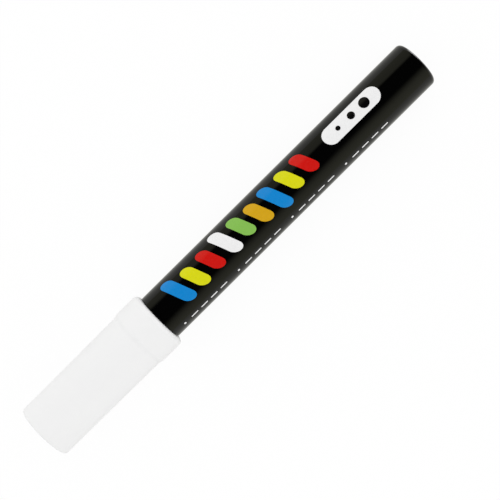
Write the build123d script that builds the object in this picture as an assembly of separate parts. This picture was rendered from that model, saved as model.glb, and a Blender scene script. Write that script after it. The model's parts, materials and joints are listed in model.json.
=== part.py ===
from build123d import *

import os
from math import cos, pi, sin, tan

# A paint marker with a pull-off cap, lying on its side with the cap on. Lengths are in millimetres.
# Its axis runs level along X, with the nib towards -X and the closed end of the barrel towards +X.
# The origin lies on the supporting surface, under the middle of the marker's length.

# Fits between pieces, as gaps on one side
PRESS_CLEARANCE = 0.03
SLIDE_CLEARANCE = 0.1
CAP_CLEARANCE = 0.15
SEAL_CLEARANCE = 0.05
STOP_CLEARANCE = 0.1
CUT_OVERRUN = 1.0

# Barrel: a moulded tube, closed at the rear, with a gate mark in the middle of its end
BARREL_LENGTH = 97.2
BARREL_DIAMETER = 14.0
BARREL_WALL = 1.1
BARREL_END_WALL = 1.6
BARREL_END_ROUND = 1.2
BARREL_BORE_ROUND = 0.8
BARREL_MOUTH_ROUND = 0.35
GATE_DIAMETER = 2.6
GATE_DEPTH = 0.25

# Front collar: a ring that continues the barrel, and a spigot that is pushed into it
COLLAR_LENGTH = 12.1
COLLAR_WALL = 1.47
COLLAR_FRONT_ROUND = 0.9
COLLAR_REAR_ROUND = 0.2
COLLAR_ROUND_LIMIT_SHARE = 0.75
POCKET_DEPTH = 8.0
SPIGOT_LENGTH = 9.0
SPIGOT_CHAMFER = 0.5
CAP_BEAD_SETBACK = 7.7
CAP_BEAD_HEIGHT = 0.1
CAP_BEAD_WIDTH = 0.8
CAP_BEAD_ROUND = 0.6
SPIGOT_BEAD_SETBACK = 5.2
SPIGOT_BEAD_HEIGHT = 0.15
SPIGOT_BEAD_WIDTH = 0.9

# Nib holder: a sealing step, a cone and a tube round the nib
STEP_LENGTH = 4.15
STEP_ROUND = 0.25
CONE_LENGTH = 1.75
TUBE_LENGTH = 8.9
TUBE_WALL = 1.4
TUBE_MOUTH_ROUND = 0.65
TUBE_GUIDE_LENGTH = 6.8
HOLDER_WALL = 1.1
TUBE_CHAMBER_GAP = 0.8
AIR_GROOVE_COUNT = 4
AIR_GROOVE_WIDTH = 0.7
AIR_GROOVE_DEPTH = 0.4

# Nib: a bonded fibre rod with a bullet tip
NIB_DIAMETER = 4.2
NIB_REACH = 6.6
NIB_STROKE = 2.0
NIB_TIP_ROUND_SHARE = 0.96
NIB_TAIL_CHAMFER = 0.3

# Valve seat: a ring with a conical face, behind a shoulder in the collar
SEAT_SETBACK = 2.2
SEAT_LENGTH = 3.0
SEAT_SHOULDER = 0.8
SEAT_LIP = 0.1
SEAT_FLOW_GAP = 0.7

# Valve stem: a cup for the nib, a shaft, a head and a tail
CUP_WALL = 1.0
CUP_FLOOR = 1.2
CUP_DEPTH = 3.5
CUP_FLOW_GAP = 0.5
STROKE_SPARE = 1.95
SHAFT_DIAMETER = 2.4
HEAD_LAND = 1.0
HEAD_LENGTH = 1.2
TAIL_DIAMETER = 2.0
TAIL_REACH = 1.0
TAIL_CHAMFER = 0.3

# Spring cage: a cup with windows that carries the spring and guides the stem's tail
CAGE_LENGTH = 12.6
CAGE_WALL = 0.8
CAGE_FLOOR = 1.2
WINDOW_PAIRS = 2
WINDOW_WIDTH = 2.6
WINDOW_MARGIN = 0.8
WINDOW_ROUND = 0.5

# Valve spring
SPRING_DIAMETER = 4.7
SPRING_WIRE = 0.5
SPRING_TURNS = 6
SPRING_END_GAP = 0.05
ARCS_PER_TURN = 4
SAMPLES_PER_ARC = 8

# Mixing ball, loose in the barrel
BALL_DIAMETER = 6.0
BALL_LIE = 0.05

# Cap: a moulded shell, a little wider at its mouth, with a band round it and ribs inside
CAP_LENGTH = 43.4
CAP_WALL = 1.3
CAP_DRAFT = 0.2
CAP_END_WALL = 1.5
CAP_END_ROUND = 0.6
CAP_BORE_STEP = 0.15
CAP_BORE_ROUND = 0.5
BAND_LENGTH = 7.4
BAND_HEIGHT = 0.35
BAND_TAPER_LENGTH = 1.0
BAND_TAPER_ROUND = 2.0
BAND_MOUTH_ROUND = 1.4
SNAP_GROOVE_DEPTH = 0.08
SNAP_GROOVE_MARGIN = 0.2
RIB_COUNT = 8
RIB_WIDTH = 0.9

# Inner seal of the cap: a soft thimble whose lip grips the holder's step
SEAL_WALL = 0.6
SEAL_END_WALL = 0.8
SEAL_LIP_GAP = 0.3
SEAL_LIP_LENGTH = 4.4
SEAL_TAPER = 0.5
SEAL_END_ROUND = 1.0
SEAL_LIP_CHAMFER = 0.2

# Radii that follow from those sizes
BARREL_RADIUS = BARREL_DIAMETER / 2
BORE_RADIUS = BARREL_RADIUS - BARREL_WALL
SPIGOT_RADIUS = BORE_RADIUS - PRESS_CLEARANCE
POCKET_RADIUS = BARREL_RADIUS - COLLAR_WALL
HOLDER_RADIUS = POCKET_RADIUS - PRESS_CLEARANCE
NIB_RADIUS = NIB_DIAMETER / 2
TUBE_RADIUS = NIB_RADIUS + SLIDE_CLEARANCE + TUBE_WALL
SOCKET_RADIUS = NIB_RADIUS + PRESS_CLEARANCE
CUP_RADIUS = SOCKET_RADIUS + CUP_WALL
WEB_RADIUS = CUP_RADIUS + CUP_FLOW_GAP
VALVE_BORE_RADIUS = WEB_RADIUS + SEAT_SHOULDER
SEAT_RADIUS = VALVE_BORE_RADIUS - PRESS_CLEARANCE
SHAFT_RADIUS = SHAFT_DIAMETER / 2
SEAT_HOLE_RADIUS = SHAFT_RADIUS + SEAT_FLOW_GAP
HEAD_RADIUS = SEAT_HOLE_RADIUS + HEAD_LAND
TAIL_RADIUS = TAIL_DIAMETER / 2
CAP_BORE_RADIUS = BARREL_RADIUS + CAP_CLEARANCE
CAP_RADIUS = CAP_BORE_RADIUS + CAP_WALL
CAP_END_RADIUS = CAP_RADIUS - CAP_DRAFT
CAP_DEEP_RADIUS = CAP_BORE_RADIUS - CAP_BORE_STEP
BAND_RADIUS = CAP_RADIUS + BAND_HEIGHT
LIP_BORE_RADIUS = HOLDER_RADIUS + SEAL_CLEARANCE
LIP_RADIUS = LIP_BORE_RADIUS + SEAL_WALL
RIB_RADIUS = LIP_RADIUS + PRESS_CLEARANCE
BALL_RADIUS = BALL_DIAMETER / 2

# Stations along the axis, from the rear to the end of the cap
AXIS_HEIGHT = BAND_RADIUS
REAR_X = (BARREL_LENGTH + CAP_LENGTH) / 2
MOUTH_X = REAR_X - BARREL_LENGTH
SPIGOT_END_X = MOUTH_X + SPIGOT_LENGTH
SEAT_FRONT_X = MOUTH_X + SEAT_SETBACK
SEAT_REAR_X = SEAT_FRONT_X + SEAT_LENGTH
CAGE_REAR_X = SEAT_REAR_X + CAGE_LENGTH
CAGE_FLOOR_X = CAGE_REAR_X - CAGE_FLOOR
SEAT_CONE_X = SEAT_REAR_X - HEAD_LAND - SEAT_LIP
GASKET_FRONT_X = SEAT_CONE_X + SEAL_CLEARANCE
HEAD_FRONT_X = GASKET_FRONT_X + HEAD_LAND
HEAD_REAR_X = HEAD_FRONT_X + HEAD_LENGTH
CUP_REAR_X = SEAT_FRONT_X - NIB_STROKE - STROKE_SPARE
SOCKET_FLOOR_X = CUP_REAR_X - CUP_FLOOR
CUP_FRONT_X = SOCKET_FLOOR_X - CUP_DEPTH
COLLAR_FRONT_X = MOUTH_X - COLLAR_LENGTH
WEB_FRONT_X = COLLAR_FRONT_X + POCKET_DEPTH
STEP_FRONT_X = COLLAR_FRONT_X - STEP_LENGTH
CONE_FRONT_X = STEP_FRONT_X - CONE_LENGTH
TUBE_FRONT_X = CONE_FRONT_X - TUBE_LENGTH
NIB_TIP_X = TUBE_FRONT_X - NIB_REACH
CAP_END_X = MOUTH_X - CAP_LENGTH
CAP_FLOOR_X = CAP_END_X + CAP_END_WALL
RIB_STOP_X = COLLAR_FRONT_X - STOP_CLEARANCE


def turned(*corners):
    """Solid turned about the axis. A corner is (along, radius) or (along, radius, rounding)."""
    places = [corner[:2] for corner in corners]
    roundings = [corner[2] if len(corner) > 2 else 0 for corner in corners]
    outline = FilletPolyline(*places, radius=roundings, close=True)
    return revolve(make_face(outline), Axis.X)


def around(count, piece):
    """Copies of a piece, spaced evenly round the axis."""
    return [Rot(X=360 / count * place) * piece for place in range(count)]


def bar(front, rear, inner, outer, width):
    """Straight bar along the axis, standing out from it between two radii."""
    middle = Pos((front + rear) / 2, 0, (inner + outer) / 2)
    return middle * Box(rear - front, width, outer - inner)


def bead(middle, radius, height, width, rounding):
    """Corners of a low snap bead that stands on a radius."""
    return (
        (middle - width / 2, radius),
        (middle, radius + height, rounding),
        (middle + width / 2, radius),
    )


def barrel():
    floor_x = REAR_X - BARREL_END_WALL
    gate_radius = GATE_DIAMETER / 2
    groove_x = MOUTH_X + SPIGOT_BEAD_SETBACK
    groove_width = SPIGOT_BEAD_WIDTH + 2 * STOP_CLEARANCE
    groove_depth = SPIGOT_BEAD_HEIGHT + PRESS_CLEARANCE
    return turned(
        (MOUTH_X, BORE_RADIUS),
        (MOUTH_X, BARREL_RADIUS, BARREL_MOUTH_ROUND),
        (REAR_X, BARREL_RADIUS, BARREL_END_ROUND),
        (REAR_X, gate_radius),
        (REAR_X - GATE_DEPTH, gate_radius),
        (REAR_X - GATE_DEPTH, 0),
        (floor_x, 0),
        (floor_x, BORE_RADIUS, BARREL_BORE_ROUND),
        (groove_x + groove_width / 2, BORE_RADIUS),
        (groove_x, BORE_RADIUS + groove_depth),
        (groove_x - groove_width / 2, BORE_RADIUS),
    )


def front_collar():
    front_round = min(COLLAR_FRONT_ROUND, COLLAR_WALL * COLLAR_ROUND_LIMIT_SHARE)
    cap_bead_x = MOUTH_X - CAP_BEAD_SETBACK
    spigot_bead_x = MOUTH_X + SPIGOT_BEAD_SETBACK
    return turned(
        (COLLAR_FRONT_X, POCKET_RADIUS),
        (COLLAR_FRONT_X, BARREL_RADIUS, front_round),
        *bead(cap_bead_x, BARREL_RADIUS, CAP_BEAD_HEIGHT, CAP_BEAD_WIDTH, CAP_BEAD_ROUND),
        (MOUTH_X, BARREL_RADIUS, COLLAR_REAR_ROUND),
        (MOUTH_X, SPIGOT_RADIUS),
        *bead(spigot_bead_x, SPIGOT_RADIUS, SPIGOT_BEAD_HEIGHT, SPIGOT_BEAD_WIDTH, 0),
        (SPIGOT_END_X - SPIGOT_CHAMFER, SPIGOT_RADIUS),
        (SPIGOT_END_X, SPIGOT_RADIUS - SPIGOT_CHAMFER),
        (SPIGOT_END_X, VALVE_BORE_RADIUS),
        (SEAT_FRONT_X, VALVE_BORE_RADIUS),
        (SEAT_FRONT_X, WEB_RADIUS),
        (WEB_FRONT_X, WEB_RADIUS),
        (WEB_FRONT_X, POCKET_RADIUS),
    )


def nib_holder():
    guide_radius = NIB_RADIUS + SLIDE_CLEARANCE
    tube_chamber_radius = guide_radius + TUBE_CHAMBER_GAP
    chamber_radius = HOLDER_RADIUS - HOLDER_WALL
    guide_rear = TUBE_FRONT_X + TUBE_GUIDE_LENGTH
    body = turned(
        (TUBE_FRONT_X, guide_radius),
        (TUBE_FRONT_X, TUBE_RADIUS, TUBE_MOUTH_ROUND),
        (CONE_FRONT_X, TUBE_RADIUS),
        (STEP_FRONT_X, HOLDER_RADIUS, STEP_ROUND),
        (WEB_FRONT_X, HOLDER_RADIUS),
        (WEB_FRONT_X, chamber_radius),
        (STEP_FRONT_X + HOLDER_WALL, chamber_radius),
        (CONE_FRONT_X + HOLDER_WALL, tube_chamber_radius),
        (guide_rear, tube_chamber_radius),
        (guide_rear, guide_radius),
    )
    groove = bar(
        TUBE_FRONT_X - CUT_OVERRUN,
        guide_rear + CUT_OVERRUN,
        NIB_RADIUS,
        guide_radius + AIR_GROOVE_DEPTH,
        AIR_GROOVE_WIDTH,
    )
    return body - around(AIR_GROOVE_COUNT, groove)


def nib():
    return turned(
        (NIB_TIP_X, 0),
        (NIB_TIP_X, NIB_RADIUS, NIB_RADIUS * NIB_TIP_ROUND_SHARE),
        (SOCKET_FLOOR_X - NIB_TAIL_CHAMFER, NIB_RADIUS),
        (SOCKET_FLOOR_X, NIB_RADIUS - NIB_TAIL_CHAMFER),
        (SOCKET_FLOOR_X, 0),
    )


def valve_seat():
    cone_rear = SEAT_HOLE_RADIUS + HEAD_LAND + SEAT_LIP
    return turned(
        (SEAT_FRONT_X, SEAT_HOLE_RADIUS),
        (SEAT_FRONT_X, SEAT_RADIUS),
        (SEAT_REAR_X, SEAT_RADIUS),
        (SEAT_REAR_X, cone_rear),
        (SEAT_CONE_X, SEAT_HOLE_RADIUS),
    )


def valve_stem():
    tail_end = CAGE_REAR_X + TAIL_REACH
    return turned(
        (CUP_FRONT_X, SOCKET_RADIUS),
        (CUP_FRONT_X, CUP_RADIUS),
        (CUP_REAR_X, CUP_RADIUS),
        (CUP_REAR_X, SHAFT_RADIUS),
        (HEAD_FRONT_X, SHAFT_RADIUS),
        (HEAD_FRONT_X, HEAD_RADIUS),
        (HEAD_REAR_X, HEAD_RADIUS),
        (HEAD_REAR_X, TAIL_RADIUS),
        (tail_end - TAIL_CHAMFER, TAIL_RADIUS),
        (tail_end, TAIL_RADIUS - TAIL_CHAMFER),
        (tail_end, 0),
        (SOCKET_FLOOR_X, 0),
        (SOCKET_FLOOR_X, SOCKET_RADIUS),
    )


def stem_gasket():
    ring_radius = SHAFT_RADIUS + PRESS_CLEARANCE
    return turned(
        (GASKET_FRONT_X, ring_radius),
        (GASKET_FRONT_X, SEAT_HOLE_RADIUS),
        (HEAD_FRONT_X, HEAD_RADIUS),
        (HEAD_FRONT_X, ring_radius),
    )


def spring_cage():
    inner_radius = SEAT_RADIUS - CAGE_WALL
    guide_radius = TAIL_RADIUS + SLIDE_CLEARANCE
    cup = turned(
        (SEAT_REAR_X, inner_radius),
        (SEAT_REAR_X, SEAT_RADIUS),
        (CAGE_REAR_X, SEAT_RADIUS, CAGE_WALL / 2),
        (CAGE_REAR_X, guide_radius),
        (CAGE_FLOOR_X, guide_radius),
        (CAGE_FLOOR_X, inner_radius),
    )
    window_front = SPIGOT_END_X + WINDOW_MARGIN
    window_rear = CAGE_FLOOR_X - WINDOW_MARGIN
    window = RectangleRounded(window_rear - window_front, WINDOW_WIDTH, WINDOW_ROUND)
    cutter = extrude(window, SEAT_RADIUS + CUT_OVERRUN, both=True)
    placed = Pos((window_front + window_rear) / 2, 0, 0) * cutter
    return cup - [Rot(X=180 / WINDOW_PAIRS * pair) * placed for pair in range(WINDOW_PAIRS)]


def valve_spring():
    coil_radius = (SPRING_DIAMETER - SPRING_WIRE) / 2
    first_x = HEAD_REAR_X + SPRING_END_GAP + SPRING_WIRE / 2
    last_x = CAGE_FLOOR_X - SPRING_END_GAP - SPRING_WIRE / 2
    arcs = SPRING_TURNS * ARCS_PER_TURN
    rise = (last_x - first_x) / arcs
    swing = 2 * pi / ARCS_PER_TURN
    lead = rise / (2 * coil_radius * tan(swing / 2))

    def place(step):
        angle = swing * step
        return Vector(first_x + rise * step, coil_radius * cos(angle), coil_radius * sin(angle))

    def heading(step):
        angle = swing * step
        return Vector(lead, -sin(angle), cos(angle))

    wire_line = Wire(
        [TangentArc(place(step), place(step + 1), tangent=heading(step)) for step in range(arcs)]
    )
    section = Plane(origin=place(0), z_dir=heading(0)) * Circle(SPRING_WIRE / 2)
    spring = sweep(section, path=wire_line)

    count = arcs * SAMPLES_PER_ARC
    samples = [wire_line.position_at(place_along / count) for place_along in range(count + 1)]
    half_turn = SAMPLES_PER_ARC * ARCS_PER_TURN // 2
    least_gap = min(
        (later - sooner).length
        for index, sooner in enumerate(samples)
        for later in samples[index + half_turn:]
    ) - SPRING_WIRE
    section_area = pi * SPRING_WIRE ** 2 / 4
    print(f"valve_spring: least gap {least_gap:.2f} mm, "
          f"volume {spring.volume:.3f} mm3 for {section_area * wire_line.length:.3f} mm3 of wire")
    return spring


def mixing_ball():
    ball_x = REAR_X - BARREL_END_WALL - STOP_CLEARANCE - BALL_RADIUS
    return Pos(ball_x, 0, BALL_RADIUS + BALL_LIE - BORE_RADIUS) * Sphere(BALL_RADIUS)


def cap_shell():
    band_front = MOUTH_X - BAND_LENGTH
    groove_x = MOUTH_X - CAP_BEAD_SETBACK
    groove_width = CAP_BEAD_WIDTH + 2 * SNAP_GROOVE_MARGIN
    shell = turned(
        (CAP_END_X, 0),
        (CAP_END_X, CAP_END_RADIUS, CAP_END_ROUND),
        (band_front - BAND_TAPER_LENGTH, CAP_RADIUS, BAND_TAPER_ROUND),
        (band_front, BAND_RADIUS, BAND_TAPER_ROUND),
        (MOUTH_X, BAND_RADIUS, BAND_MOUTH_ROUND),
        (MOUTH_X, CAP_BORE_RADIUS),
        (groove_x + groove_width / 2, CAP_BORE_RADIUS),
        (groove_x, CAP_BORE_RADIUS + SNAP_GROOVE_DEPTH),
        (groove_x - groove_width / 2, CAP_BORE_RADIUS),
        (RIB_STOP_X, CAP_BORE_RADIUS),
        (RIB_STOP_X, CAP_DEEP_RADIUS),
        (CAP_FLOOR_X, CAP_DEEP_RADIUS, CAP_BORE_ROUND),
        (CAP_FLOOR_X, 0),
    )
    rib = bar(
        CAP_FLOOR_X - CAP_END_WALL / 2,
        RIB_STOP_X,
        RIB_RADIUS,
        CAP_DEEP_RADIUS + CAP_WALL / 2,
        RIB_WIDTH,
    )
    return shell + around(RIB_COUNT, rib)


def cap_inner_seal():
    mouth_x = COLLAR_FRONT_X - SEAL_LIP_GAP
    lip_front = mouth_x - SEAL_LIP_LENGTH
    end_x = CAP_FLOOR_X + PRESS_CLEARANCE
    end_radius = LIP_RADIUS - SEAL_TAPER
    return turned(
        (end_x, 0),
        (end_x, end_radius, SEAL_END_ROUND),
        (lip_front, LIP_RADIUS),
        (mouth_x, LIP_RADIUS),
        (mouth_x, LIP_BORE_RADIUS + SEAL_LIP_CHAMFER),
        (mouth_x - SEAL_LIP_CHAMFER, LIP_BORE_RADIUS),
        (lip_front, LIP_BORE_RADIUS),
        (end_x + SEAL_END_WALL, end_radius - SEAL_WALL, SEAL_END_ROUND - SEAL_WALL),
        (end_x + SEAL_END_WALL, 0),
    )


PIECES = {
    "barrel": barrel,
    "front_collar": front_collar,
    "nib_holder": nib_holder,
    "nib": nib,
    "valve_seat": valve_seat,
    "valve_stem": valve_stem,
    "stem_gasket": stem_gasket,
    "valve_spring": valve_spring,
    "spring_cage": spring_cage,
    "mixing_ball": mixing_ball,
    "cap_shell": cap_shell,
    "cap_inner_seal": cap_inner_seal,
}

os.makedirs("parts", exist_ok=True)
for name, make in PIECES.items():
    export_step(Pos(0, 0, AXIS_HEIGHT) * make(), f"parts/{name}.step")
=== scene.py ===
import json
import math

import bmesh
import bpy
from mathutils import Matrix, Vector


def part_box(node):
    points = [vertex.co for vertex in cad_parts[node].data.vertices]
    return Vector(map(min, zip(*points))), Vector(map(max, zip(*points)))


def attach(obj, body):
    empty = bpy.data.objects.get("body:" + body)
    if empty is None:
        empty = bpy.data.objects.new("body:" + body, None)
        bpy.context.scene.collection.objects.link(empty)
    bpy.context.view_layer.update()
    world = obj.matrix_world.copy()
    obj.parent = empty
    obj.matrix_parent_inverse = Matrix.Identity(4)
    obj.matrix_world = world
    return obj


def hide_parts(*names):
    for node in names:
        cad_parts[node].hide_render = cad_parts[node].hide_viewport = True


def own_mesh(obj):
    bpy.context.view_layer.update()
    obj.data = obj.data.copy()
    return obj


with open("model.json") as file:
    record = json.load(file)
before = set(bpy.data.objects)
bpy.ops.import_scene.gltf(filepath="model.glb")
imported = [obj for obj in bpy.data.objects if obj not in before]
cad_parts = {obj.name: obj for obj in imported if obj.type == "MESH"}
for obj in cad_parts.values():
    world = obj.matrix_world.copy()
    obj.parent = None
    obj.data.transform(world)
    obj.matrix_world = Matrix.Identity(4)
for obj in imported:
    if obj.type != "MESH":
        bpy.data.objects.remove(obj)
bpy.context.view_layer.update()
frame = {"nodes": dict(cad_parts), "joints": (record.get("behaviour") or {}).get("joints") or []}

# Barrel: the marker's body and paint tank, one deep tube of black polypropylene, closed at the rear.
# It is injection moulded between polished steels, so that it comes out glossy, and handling leaves
# faint lengthwise rubs on it.


class Field:
    """A socket whose value changes over a surface. Sums and products of fields add Math nodes."""

    def __init__(self, tree, socket=None):
        self.tree = tree
        self.socket = socket

    def node(self, kind, settings, sockets, output=0):
        """Adds a node: its settings first, then a value or a link for each socket that is named."""
        made = self.tree.nodes.new(kind)
        for setting, value in settings.items():
            setattr(made, setting, value)
        for socket, value in sockets.items():
            if isinstance(value, Field):
                self.tree.links.new(value.socket, made.inputs[socket])
            else:
                made.inputs[socket].default_value = value
        return Field(self.tree, made.outputs[output])

    def maths(self, operation, first, second):
        """Adds a Math node on two values."""
        return self.node("ShaderNodeMath", {"operation": operation}, {0: first, 1: second})

    def __add__(self, other):
        return self.maths("ADD", self, other)

    __radd__ = __add__

    def __sub__(self, other):
        return self.maths("SUBTRACT", self, other)

    def __rsub__(self, other):
        return self.maths("SUBTRACT", other, self)

    def __mul__(self, other):
        return self.maths("MULTIPLY", self, other)

    __rmul__ = __mul__

    def dot(self, heading):
        """How far this vector reaches along a heading."""
        sockets = {0: self, 1: heading}
        return self.node("ShaderNodeVectorMath", {"operation": "DOT_PRODUCT"}, sockets, "Value")

    def part(self, axis):
        """The X, Y or Z of this vector."""
        return self.node("ShaderNodeSeparateXYZ", {}, {0: self}, axis)

    def colour(self, low, high):
        """Colour that goes from low, where this field is 0, to high, where it is 1."""
        return self.node("ShaderNodeMix", {"data_type": "RGBA"}, {0: self, 6: low, 7: high}, 2)

    def step(self, low, high):
        """0 where this field is under low, 1 where it is over high, and smooth between them."""
        sockets = {"Value": self, "From Min": low, "From Max": high}
        return self.node("ShaderNodeMapRange", {"interpolation_type": "SMOOTHSTEP"}, sockets)


def tint(red, green, blue):
    """Linear colour of a screen colour from 0 to 255."""
    shares = [value / 255 for value in (red, green, blue)]
    return (*[s / 12.92 if s <= 0.04045 else ((s + 0.055) / 1.055) ** 2.4 for s in shares], 1)


def new_finish(name, steady):
    """New material: its Principled shader, with steady sockets set, and the place on the surface."""
    material = bpy.data.materials.new(name)
    material.use_nodes = True
    shader = material.node_tree.nodes["Principled BSDF"]
    for socket, value in steady.items():
        shader.inputs[socket].default_value = value
    place = Field(material.node_tree).node("ShaderNodeTexCoord", {}, {}, "Object")
    return material, shader, place


def feed(shader, varying):
    """Links fields to the shader's sockets."""
    for socket, field in varying.items():
        field.tree.links.new(field.socket, shader.inputs[socket])


def noise(place, size, detail=2.0, stretch=(1, 1, 1)):
    """Cloudy field from 0 to 1 with patches of about that size in metres, drawn out by stretch."""
    scale = [1 / (size * share) for share in stretch]
    drawn = place.node("ShaderNodeVectorMath", {"operation": "MULTIPLY"}, {0: place, 1: scale})
    return place.node("ShaderNodeTexNoise", {}, {"Vector": drawn, "Scale": 1.0, "Detail": detail})


def bump(height, depth):
    """Normal of a surface that stands up to depth metres high where the field is 1."""
    return height.node("ShaderNodeBump", {}, {"Height": height, "Distance": depth, "Strength": 1.0})


def wear(node, material):
    """Gives a CAD node its finish."""
    slots = frame["nodes"][node].data.materials
    slots.clear()
    slots.append(material)


barrel_low, barrel_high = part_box("barrel")
axis_z = (barrel_low.z + barrel_high.z) / 2
barrel_radius = (barrel_high.y - barrel_low.y) / 2

BARREL_BLACK = tint(3, 3, 3)
BARREL_RUBBED = tint(7, 7, 8)
BARREL_ROUGHNESS = 0.07
BARREL_IOR = 1.36
RUB_ROUGHNESS = 0.05
RUB_WIDTH = 0.0012
RUB_DETAIL = 4.0
RUB_STRETCH = (14, 1, 1)
RUB_EDGES = (0.55, 0.8)
SINK_SIZE = 0.012
SINK_DEPTH = 0.00002

gloss_black, shader, place = new_finish("gloss_black", {"IOR": BARREL_IOR})
sinks = noise(place, SINK_SIZE)
rubs = noise(place, RUB_WIDTH, RUB_DETAIL, RUB_STRETCH).step(*RUB_EDGES) * sinks
feed(shader, {
    "Base Color": rubs.colour(BARREL_BLACK, BARREL_RUBBED),
    "Roughness": BARREL_ROUGHNESS + RUB_ROUGHNESS * rubs,
    "Normal": bump(sinks, SINK_DEPTH),
})
wear("barrel", gloss_black)

# Print on the barrel: thin pads of opaque ink, put on by screen printing after moulding. A row of leaning
# dabs in six paint colours, a white tab with three growing dots, and a fine rule of dots and dashes.

INK_HEIGHT = 0.00003
INK_SINK = 0.00001
INK_SLICE = math.radians(3) * barrel_radius
INK_GRAIN = 0.0006
INK_DETAIL = 3.0
INK_PEBBLE = 0.000008
INK_THIN_SHARE = 0.88
INK_ROUGHNESS = 0.1
INK_DULLNESS = 0.08
CURVE_POINTS = 12

INKS = {
    "blue": tint(18, 136, 212),
    "yellow": tint(222, 221, 20),
    "red": tint(210, 22, 16),
    "white": tint(245, 245, 245),
    "green": tint(136, 193, 86),
    "orange": tint(216, 168, 26),
    "black": tint(8, 8, 9),
}


def ink_finish(name, colour):
    """Ink that covers a little unevenly, with a slightly pebbled dry face."""
    material, shader, place = new_finish(f"ink_{name}", {"IOR": BARREL_IOR})
    cover = noise(place, INK_GRAIN, INK_DETAIL)
    thin = [INK_THIN_SHARE * value for value in colour[:3]] + [1]
    feed(shader, {
        "Base Color": cover.colour(thin, colour),
        "Roughness": INK_ROUGHNESS + INK_DULLNESS * cover,
        "Normal": bump(cover, INK_PEBBLE),
    })
    return material


ink_finishes = {name: ink_finish(name, colour) for name, colour in INKS.items()}


def rounded_bar(along, around, length, width, lean):
    """Outline of a bar with half-round ends that stands across the barrel and leans along it."""
    end = width / 2
    reach = length / 2 - end
    turns = [math.pi * (step + 0.5) / CURVE_POINTS for step in range(CURVE_POINTS)]
    top = [(end * math.cos(turn), reach + end * math.sin(turn)) for turn in turns]
    bottom = [(-u, -v) for u, v in top]
    return [(along + u + v * lean, around + v) for u, v in top + bottom]


def lying_bar(along, around, length, width):
    """Outline of a bar with half-round ends that lies along the barrel."""
    upright = rounded_bar(0, 0, length, width, 0)
    return [(along + v, around - u) for u, v in upright]


def slice_sheet(form):
    """Cuts a flat sheet into strips that are narrow enough to follow the barrel."""
    spans = [vert.co.y for vert in form.verts]
    cut = math.ceil(min(spans) / INK_SLICE)
    while cut * INK_SLICE < max(spans):
        bmesh.ops.bisect_plane(
            form,
            geom=form.verts[:] + form.edges[:] + form.faces[:],
            plane_co=(0, cut * INK_SLICE, 0),
            plane_no=(0, 1, 0),
        )
        cut += 1


def bend_round_barrel(form):
    """Bends a flat form: x stays along the barrel, y goes round it, and z stands out from its face."""
    for vert in form.verts:
        along, across, height = vert.co
        turn = across / barrel_radius
        radius = barrel_radius + height
        vert.co = (along, radius * math.sin(turn), axis_z + radius * math.cos(turn))


def put_in_scene(name, data):
    """New object with that mesh, lamp or camera."""
    thing = bpy.data.objects.new(name, data)
    bpy.context.scene.collection.objects.link(thing)
    return thing


def new_piece(name, form, material):
    """Piece with a finish of its own, made from a form that is then let go."""
    mesh = bpy.data.meshes.new(name)
    form.to_mesh(mesh)
    form.free()
    mesh.materials.append(material)
    return put_in_scene(name, mesh)


def pad(name, outlines, ink, lift=0.0):
    """Closed pads of ink on the barrel. An outline holds places (along, around), in metres."""
    form = bmesh.new()
    for outline in outlines:
        form.faces.new([form.verts.new((along, -around, 0)) for along, around in outline])
    slice_sheet(form)
    bmesh.ops.triangulate(form, faces=form.faces[:])
    sheet = form.faces[:]
    rims = [edge.verts[:] for edge in form.edges if edge.is_boundary]
    raised = {}
    for vert in form.verts[:]:
        raised[vert] = form.verts.new((vert.co.x, vert.co.y, INK_HEIGHT + lift))
        vert.co.z = -INK_SINK
    for face in sheet:
        form.faces.new([raised[vert] for vert in face.verts])
    for first, last in rims:
        form.faces.new((first, last, raised[last], raised[first]))
    bmesh.ops.recalc_face_normals(form, faces=form.faces[:])
    for face in form.faces:
        face.smooth = len({vert.co.z for vert in face.verts}) == 1
    for edge in form.edges:
        edge.smooth = all(face.smooth for face in edge.link_faces)
    bend_round_barrel(form)
    piece = new_piece(name, form, ink_finishes[ink])
    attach(piece, "barrel")


DAB_COUNT = 9
DAB_FIRST = barrel_low.x + 0.009
DAB_PITCH = 0.0059
DAB_WIDTH = 0.0038
DAB_LENGTH = 0.0085
DAB_LEAN = 0.38
DAB_WAVE = 0.0012
DAB_WAVES = 3
DAB_SWAY = 0.0006
DAB_SWAYS = 2
DAB_LINE = math.radians(-15) * barrel_radius
DAB_ORDER = ("blue", "yellow", "red", "white", "green", "orange")

for colour in DAB_ORDER:
    dabs = []
    for dab in range(DAB_ORDER.index(colour), DAB_COUNT, len(DAB_ORDER)):
        swing = 2 * math.pi * dab / DAB_COUNT
        dabs.append(rounded_bar(
            DAB_FIRST + dab * DAB_PITCH,
            DAB_LINE + DAB_SWAY * math.sin(DAB_SWAYS * swing),
            DAB_LENGTH + DAB_WAVE * math.cos(DAB_WAVES * swing),
            DAB_WIDTH,
            DAB_LEAN,
        ))
    pad(f"print_dabs_{colour}", dabs, colour)

TAB_MIDDLE = barrel_low.x + 0.0738
TAB_LENGTH = 0.0199
TAB_HEIGHT = 0.00545
TAB_LINE = math.radians(-19.5) * barrel_radius
TAB_DOTS = (0.0014, 0.0022, 0.0031)
TAB_DOT_PITCH = 0.0048

pad("print_tab", [lying_bar(TAB_MIDDLE, TAB_LINE, TAB_LENGTH, TAB_HEIGHT)], "white")
dots = []
for dot, size in enumerate(TAB_DOTS):
    middle = TAB_MIDDLE + (dot - 1) * TAB_DOT_PITCH
    dots.append(lying_bar(middle, TAB_LINE, size, size))
pad("print_tab_dots", dots, "black", INK_HEIGHT)

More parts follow.
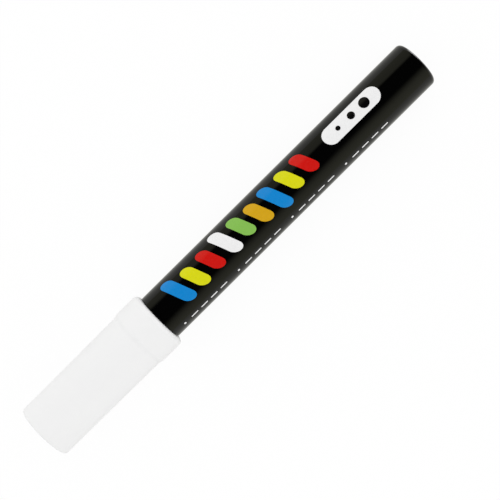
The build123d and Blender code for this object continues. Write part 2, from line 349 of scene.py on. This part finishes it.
RULE_LINE = math.radians(56) * barrel_radius
RULE_FIRST = barrel_low.x + 0.0042
RULE_GROUPS = 4
RULE_GROUP_PITCH = 0.0200
RULE_DASHES = 4
RULE_DASH_PITCH = 0.0036
RULE_DASH_LENGTH = 0.0024
RULE_DASH_WIDTH = 0.0004
RULE_DOT = 0.0007

marks = []
for group in range(RULE_GROUPS):
    first = RULE_FIRST + group * RULE_GROUP_PITCH
    marks.append(lying_bar(first, RULE_LINE, RULE_DOT, RULE_DOT))
    for dash in range(RULE_DASHES):
        middle = first + (dash + 1) * RULE_DASH_PITCH
        marks.append(lying_bar(middle, RULE_LINE, RULE_DASH_LENGTH, RULE_DASH_WIDTH))
pad("print_rule", marks, "white")

# Mixing ball: a hardened steel ball, ground and polished, loose in the barrel, where it stirs the
# pigment when the marker is shaken.

METAL = {"Metallic": 1.0}
BALL_STEEL = tint(214, 215, 218)
BALL_FILM = tint(176, 178, 182)
BALL_ROUGHNESS = 0.06
FILM_SIZE = 0.0015
FILM_DETAIL = 3.0
FILM_ROUGHNESS = 0.12

polished_steel, shader, place = new_finish("polished_steel", METAL)
film = noise(place, FILM_SIZE, FILM_DETAIL)
feed(shader, {
    "Base Color": film.colour(BALL_STEEL, BALL_FILM),
    "Roughness": BALL_ROUGHNESS + FILM_ROUGHNESS * film,
})
wear("mixing_ball", polished_steel)

# Front collar: a ring and spigot of natural polypropylene, pressed into the barrel's mouth up to its
# shoulder. It has no pigment, so it is milky, with a satin face that the cap rubs on.

FLOW_SIZE = 0.006
FLOW_DETAIL = 3.0
FLOW_STRETCH = (2.5, 1, 1)
SKIN_GRAIN = 0.0004
COLLAR_MILK = tint(246, 246, 244)
COLLAR_CLOUD = tint(241, 242, 240)
COLLAR_ROUGHNESS = (0.38, 0.52)
COLLAR_SKIN = 0.00001
COLLAR_IOR = 1.45
COLLAR_SCATTER = 0.35
COLLAR_SCATTER_REACH = (0.0012, 0.0012, 0.0011)


def moulded(name, pale, deep, roughness, skin, steady, cover=None):
    """Moulded plastic: flow marks from pale to deep and from smooth to rough, and a skin of that depth.

    Where it isn't opaque, cover works out its alpha from the place on it.
    """
    material, shader, place = new_finish(name, steady)
    flow = noise(place, FLOW_SIZE, FLOW_DETAIL, FLOW_STRETCH)
    smooth, rough = roughness
    feed(shader, {
        "Base Color": flow.colour(pale, deep),
        "Roughness": smooth + (rough - smooth) * flow,
        "Normal": bump(noise(place, SKIN_GRAIN), skin),
    })
    if cover:
        feed(shader, {"Alpha": cover(place)})
    return material


milky_plastic = moulded("milky_plastic", COLLAR_MILK, COLLAR_CLOUD, COLLAR_ROUGHNESS, COLLAR_SKIN, {
    "IOR": COLLAR_IOR,
    "Subsurface Weight": COLLAR_SCATTER,
    "Subsurface Radius": COLLAR_SCATTER_REACH,
})
wear("front_collar", milky_plastic)

# Valve seat: a small ring with a conical face, moulded in acetal and pushed against the shoulder in
# the collar's spigot. The gasket closes on its cone.

ACETAL_PALE = tint(232, 231, 226)
ACETAL_DEEP = tint(220, 219, 213)
ACETAL_ROUGHNESS = (0.3, 0.45)
ACETAL_SKIN = 0.000008
ACETAL_IOR = 1.48

acetal = moulded("acetal", ACETAL_PALE, ACETAL_DEEP, ACETAL_ROUGHNESS, ACETAL_SKIN, {"IOR": ACETAL_IOR})
wear("valve_seat", acetal)

# Valve stem: cup, shaft, head and tail in one acetal moulding. The nib is pushed into its cup, and it
# slides with the nib through the seat and the cage.

wear("valve_stem", acetal)

# Stem gasket: a turned ring of black nitrile rubber. It is stretched over the stem's shaft up to the
# head, and seals the valve where the spring holds it on the seat's cone.

RUBBER_BLACK = tint(28, 28, 29)
RUBBER_BLOOM = tint(52, 52, 52)
RUBBER_ROUGHNESS = (0.6, 0.8)
RUBBER_SKIN = 0.00002
RUBBER_IOR = 1.5

nitrile_rubber = moulded(
    "nitrile_rubber", RUBBER_BLACK, RUBBER_BLOOM, RUBBER_ROUGHNESS, RUBBER_SKIN, {"IOR": RUBBER_IOR},
)
wear("stem_gasket", nitrile_rubber)

# Valve spring: cold-drawn stainless wire, coiled with its end turns close together. It sits between
# the stem's head and the cage's floor. The real spring shortens when the nib is pressed in; the coil
# built here keeps its rest length.

SPRING_TURNS = 6
SPRING_WIRE = 0.0005
SPRING_CLOSING = 0.5
SPRING_RINGS = 36
SPRING_SIDES = 12
SPRING_STROKE = next(j["range_m"][1] for j in frame["joints"] if j["name"] == "nib_press")
WIRE_BRIGHT = tint(196, 197, 200)
WIRE_DULL = tint(150, 151, 155)
WIRE_ROUGHNESS = 0.22
DRAWING_SIZE = 0.0002
DRAWING_DETAIL = 3.0
DRAWING_DEPTH = 0.000005
DRAWING_ROUGHNESS = 0.2

spring_low, spring_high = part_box("valve_spring")
spring_length = spring_high.x - spring_low.x
coil_radius = (spring_high.y - spring_low.y) / 2 - SPRING_WIRE / 2
coil_first = spring_low.x + SPRING_WIRE / 2
coil_span = spring_length - SPRING_WIRE


def coil_place(share):
    """Place on the wire's middle line, with a finer pitch near both ends."""
    eased = share - SPRING_CLOSING * math.sin(2 * math.pi * share) / (2 * math.pi)
    turn = 2 * math.pi * SPRING_TURNS * share
    offset = Vector((0, math.cos(turn), math.sin(turn))) * coil_radius
    return Vector((coil_first + coil_span * eased, 0, axis_z)) + offset


form = bmesh.new()
rings = []
ring_count = SPRING_TURNS * SPRING_RINGS
half_ring = 0.5 / ring_count
corners = [2 * math.pi * side / SPRING_SIDES for side in range(SPRING_SIDES)]
for ring in range(ring_count + 1):
    share = ring / ring_count
    middle = coil_place(share)
    ahead = (coil_place(share + half_ring) - coil_place(share - half_ring)).normalized()
    outward = Vector((0, middle.y, middle.z - axis_z)).normalized()
    aside = ahead.cross(outward).normalized()
    spokes = [outward * math.cos(corner) + aside * math.sin(corner) for corner in corners]
    rings.append([form.verts.new(middle + spoke * SPRING_WIRE / 2) for spoke in spokes])
for ring, after in zip(rings, rings[1:]):
    for side in range(SPRING_SIDES):
        beside = (side + 1) % SPRING_SIDES
        form.faces.new((ring[side], ring[beside], after[beside], after[side])).smooth = True
form.faces.new(rings[0])
form.faces.new(rings[-1])
bmesh.ops.recalc_face_normals(form, faces=form.faces[:])

drawn_wire, shader, place = new_finish("drawn_wire", METAL)
drawing = noise(place, DRAWING_SIZE, DRAWING_DETAIL)
feed(shader, {
    "Base Color": drawing.colour(WIRE_BRIGHT, WIRE_DULL),
    "Roughness": WIRE_ROUGHNESS + DRAWING_ROUGHNESS * drawing,
    "Normal": bump(drawing, DRAWING_DEPTH),
})
coil_spring = new_piece("coil_spring", form, drawn_wire)
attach(coil_spring, "barrel")
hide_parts("valve_spring")
1 - SPRING_STROKE / spring_length
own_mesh(coil_spring)

# Spring cage: an acetal cup with four windows that let the paint through. It is snapped into the
# collar's spigot behind the seat, and its floor carries the spring and guides the stem's tail.

wear("spring_cage", acetal)

# Nib holder: step, cone and tube in one moulding of clear polypropylene, pushed into the collar. It is
# milky where it is thick, and clear enough round the nib to show the fibre through the tube.

HOLDER_PALE = tint(248, 248, 246)
HOLDER_HAZE = tint(242, 243, 241)
HOLDER_ROUGHNESS = (0.2, 0.32)
HOLDER_SKIN = 0.000006
HOLDER_IOR = 1.42
TUBE_COVER = 0.34
TUBE_LENGTH = 0.0099
TUBE_FADE = 0.0009

tube_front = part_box("nib_holder")[0].x
tube_end = tube_front + TUBE_LENGTH


def tube_cover(place):
    """How far the holder hides the nib: little along the tube, and wholly from the cone on."""
    return TUBE_COVER + (1 - TUBE_COVER) * place.part("X").step(tube_end - TUBE_FADE, tube_end)


clear_plastic = moulded(
    "clear_plastic", HOLDER_PALE, HOLDER_HAZE, HOLDER_ROUGHNESS, HOLDER_SKIN, {"IOR": HOLDER_IOR},
    cover=tube_cover,
)
wear("nib_holder", clear_plastic)

# Nib: a rod of polyester fibres, bonded with resin and ground to a bullet tip. It is pushed into the
# stem's cup and runs through the holder's tube. Inside the tube its colour is painted paler: a painted
# lightening that stands in for the light the tube's walls let through to it.

NIB_STRAW = tint(244, 226, 146)
NIB_RESIN = tint(232, 206, 108)
# Painted light: the paler colour the nib gets inside the holder's tube.
NIB_PAINTED_LIGHT = tint(255, 234, 128)
NIB_ROUGHNESS = 0.75
NIB_SHEEN = 0.15
NIB_SPECULAR = 0.2
PAINTED_LIGHT_SHARE = 0.85
PAINTED_LIGHT_FADE = 0.0006
FIBRE_WIDTH = 0.00016
FIBRE_DETAIL = 3.0
FIBRE_STRETCH = (40, 1, 1)
FIBRE_HEIGHT = 0.00003
FIBRE_ROUGHNESS = 0.2
FIBRE_SHARE = 0.7
SOAK_SIZE = 0.0025
SOAK_EDGES = (0.3, 0.7)

bonded_fibre, shader, place = new_finish("bonded_fibre", {
    "Sheen Weight": NIB_SHEEN,
    "Specular IOR Level": NIB_SPECULAR,
})
fibres = noise(place, FIBRE_WIDTH, FIBRE_DETAIL, FIBRE_STRETCH)
soak = FIBRE_SHARE * fibres + (1 - FIBRE_SHARE) * noise(place, SOAK_SIZE)
soaked = soak.step(*SOAK_EDGES).colour(NIB_STRAW, NIB_RESIN)
# Painted light: from the tube's mouth on, the nib is painted paler to stand in for light through the
# tube.
tube_painted_light = place.part("X").step(tube_front, tube_front + PAINTED_LIGHT_FADE) * PAINTED_LIGHT_SHARE
feed(shader, {
    "Base Color": tube_painted_light.colour(soaked, NIB_PAINTED_LIGHT),
    "Roughness": NIB_ROUGHNESS + FIBRE_ROUGHNESS * fibres,
    "Normal": bump(fibres, FIBRE_HEIGHT),
})
wear("nib", bonded_fibre)

# Inner seal of the cap: a thimble of soft polyethylene, held by the cap's ribs. Its lip slides over
# the holder's step and keeps the nib from drying out.

SEAL_PALE = tint(236, 238, 240)
SEAL_DEEP = tint(224, 227, 230)
SEAL_ROUGHNESS = (0.45, 0.6)
SEAL_SKIN = 0.00001
SEAL_SCATTER = 0.3
SEAL_SCATTER_REACH = (0.001, 0.001, 0.001)

soft_polyethylene = moulded("soft_polyethylene", SEAL_PALE, SEAL_DEEP, SEAL_ROUGHNESS, SEAL_SKIN, {
    "Subsurface Weight": SEAL_SCATTER,
    "Subsurface Radius": SEAL_SCATTER_REACH,
})
wear("cap_inner_seal", soft_polyethylene)

# Cap: a white polypropylene shell with a thicker band at its mouth, moulded with a satin face. It is
# pushed over the collar and held by a low bead.

CAP_WHITE = tint(244, 244, 244)
CAP_SHADE = tint(241, 241, 241)
CAP_ROUGHNESS = (0.42, 0.52)
CAP_SKIN = 0.000012
CAP_SPECULAR = 0.3
CAP_SCATTER = 0.2
CAP_SCATTER_REACH = (0.0008, 0.0008, 0.0008)

satin_white = moulded("satin_white", CAP_WHITE, CAP_SHADE, CAP_ROUGHNESS, CAP_SKIN, {
    "Specular IOR Level": CAP_SPECULAR,
    "Subsurface Weight": CAP_SCATTER,
    "Subsurface Radius": CAP_SCATTER_REACH,
})
wear("cap_shell", satin_white)

# Table top: a plain white sheet. The marker lies on the cap's band and the rear edge of the barrel, so
# the sheet is tilted a little to touch both.

PLAIN_WHITE = (1, 1, 1, 1)
FLOOR_SIZE = 3.0
FLOOR_WHITE = tint(252, 252, 252)
FLOOR_SHADE = tint(251, 251, 251)
FLOOR_CLOUD = 0.05
FLOOR_GLOW = 1.0
FLOOR_GLOW_SHARE = 0.94
FLOOR_SHEEN = (0.8, 0.8, 0.75, 1)
BAND_ROUND = 0.0014
REAR_ROUND = 0.0012

band_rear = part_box("cap_shell")[1].x - BAND_ROUND
rear_lift = barrel_low.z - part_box("cap_shell")[0].z
floor_slope = math.atan2(rear_lift, barrel_high.x - REAR_ROUND - band_rear)

floor_mesh = bpy.data.meshes.new("table_top")
half = FLOOR_SIZE / 2
floor_corners = [(-half, -half, 0), (half, -half, 0), (half, half, 0), (-half, half, 0)]
floor_mesh.from_pydata(floor_corners, [], [(0, 1, 2, 3)])
table_top = put_in_scene("table_top", floor_mesh)
table_top.location = (band_rear, 0, 0)
table_top.rotation_euler = (0, -floor_slope, 0)

sheet_white, shader, place = new_finish("sheet_white", {"Roughness": 1.0, "Specular IOR Level": 0.0})
sheet_tree = sheet_white.node_tree
feed(shader, {"Base Color": noise(place, FLOOR_CLOUD).colour(FLOOR_WHITE, FLOOR_SHADE)})
mirrored = place.node("ShaderNodeLightPath", {}, {}, "Is Glossy Ray")
seen = mirrored
for ray in ("Is Camera Ray", "Is Transmission Ray"):
    seen = place.maths("MAXIMUM", seen, place.node("ShaderNodeLightPath", {}, {}, ray))
sheen = mirrored.colour(PLAIN_WHITE, FLOOR_SHEEN)
glow = place.node("ShaderNodeEmission", {}, {"Color": sheen, "Strength": FLOOR_GLOW})
lit = Field(sheet_tree, shader.outputs[0])
mixed = place.node("ShaderNodeMixShader", {}, {0: seen * FLOOR_GLOW_SHARE, 1: lit, 2: glow})
sheet_tree.links.new(mixed.socket, sheet_tree.nodes["Material Output"].inputs["Surface"])
floor_mesh.materials.append(sheet_white)

# Light: an even white tent round the marker. For reflections it is dark overhead, with a soft box along
# each side, so the gloss of the barrel shows as grey bands beside a black middle. The boxes are splayed,
# and the bands get wider towards the rear.

TENT = 1.06
TENT_SLOPE = (0.1, 0.03, -0.08)
BOX_TINT = (1, 1, 0.76, 1)
NEAR_BOX = 0.73
NEAR_BOX_EDGES = (0.51, 1.10)
NEAR_BOX_SPLAY = 0.20
FAR_BOX = 0.54
FAR_BOX_EDGES = (0.82, 1.01)
FAR_BOX_SPLAY = 0.27
SPLAY_EDGES = (-0.3, 0.3)

world = bpy.data.worlds.new("light_tent")
world.use_nodes = True
bpy.context.scene.world = world
sky = Field(world.node_tree)
heading = sky.node("ShaderNodeTexCoord", {}, {}, "Generated")
across = heading.part("Y")
to_rear = heading.part("X").step(*SPLAY_EDGES)
near_box = (NEAR_BOX_SPLAY * to_rear - across).step(*NEAR_BOX_EDGES) * NEAR_BOX
far_box = (FAR_BOX_SPLAY * to_rear + across).step(*FAR_BOX_EDGES) * FAR_BOX
tent = TENT + heading.dot(TENT_SLOPE)
glossy = sky.node("ShaderNodeLightPath", {}, {}, "Is Glossy Ray")
passing = sky.node("ShaderNodeLightPath", {}, {}, "Is Transmission Ray")
mirror = glossy * (1 - passing)
feed(world.node_tree.nodes["Background"], {
    "Strength": mirror * (near_box + far_box) + (1 - mirror) * tent,
    "Color": mirror.colour(PLAIN_WHITE, BOX_TINT),
})

# Rim card: a small white card behind a grid, low beside the rear end. The grid keeps its light to a
# narrow beam, which gives the rounded rim of the barrel its highlight.

CARD_TURN = math.radians(18)
CARD_DROP = math.radians(20)
CARD_REACH = 0.0064
CARD_WIDTH = 0.0070
CARD_HEIGHT = 0.0028
CARD_GLOW = 7.0
CARD_BEAM = math.radians(44)
RIM_SPOT = (-0.0004, 0.0020, 0.0062)

half_beam = CARD_BEAM / 2
grid_gain = math.tan(half_beam) / (math.tan(half_beam) - half_beam)
card_data = bpy.data.lights.new("rim_card", "AREA")
card_data.shape = "RECTANGLE"
card_data.size = CARD_WIDTH
card_data.size_y = CARD_HEIGHT
card_data.spread = CARD_BEAM
card_data.energy = CARD_GLOW * math.pi * CARD_WIDTH * CARD_HEIGHT / grid_gain
card_heading = Vector((
    math.cos(CARD_TURN) * math.cos(CARD_DROP),
    math.sin(CARD_TURN) * math.cos(CARD_DROP),
    -math.sin(CARD_DROP),
))
rim_spot = Vector((barrel_high.x, 0, axis_z)) + Vector(RIM_SPOT)
rim_card = put_in_scene("rim_card", card_data)
rim_card.location = rim_spot + card_heading * CARD_REACH
rim_card.rotation_euler = card_heading.to_track_quat("Z", "Y").to_euler()
rim_card.visible_camera = False
rim_card.visible_diffuse = False

# Camera: straight above the marker at an arm's length, turned so that the cap points down to the left
# of the picture.

PICTURE_PIXELS = 500
PIXEL_SIZE = 0.000268
LENS = 98.0
SENSOR = 36.0
VIEW_TURN = math.radians(44.77)
MARKER_MIDDLE_PIXEL = (230.95, 247.2)

back = Vector((0, 0, 1))
right = Vector((math.cos(VIEW_TURN), -math.sin(VIEW_TURN), 0))
up = back.cross(right)
middle_x, middle_y = MARKER_MIDDLE_PIXEL
shift_right = (PICTURE_PIXELS / 2 - middle_x) * PIXEL_SIZE
shift_up = (middle_y - PICTURE_PIXELS / 2) * PIXEL_SIZE
aim = Vector((0, 0, axis_z)) + right * shift_right + up * shift_up
distance = PICTURE_PIXELS * PIXEL_SIZE * LENS / SENSOR
view_axes = Matrix((right, up, back)).transposed().to_4x4()

camera_data = bpy.data.cameras.new("camera")
camera_data.lens = LENS
camera_data.sensor_width = SENSOR
camera = put_in_scene("camera", camera_data)
camera.matrix_world = Matrix.Translation(aim + back * distance) @ view_axes
bpy.context.scene.camera = camera
bpy.context.scene.view_settings.view_transform = "Standard"
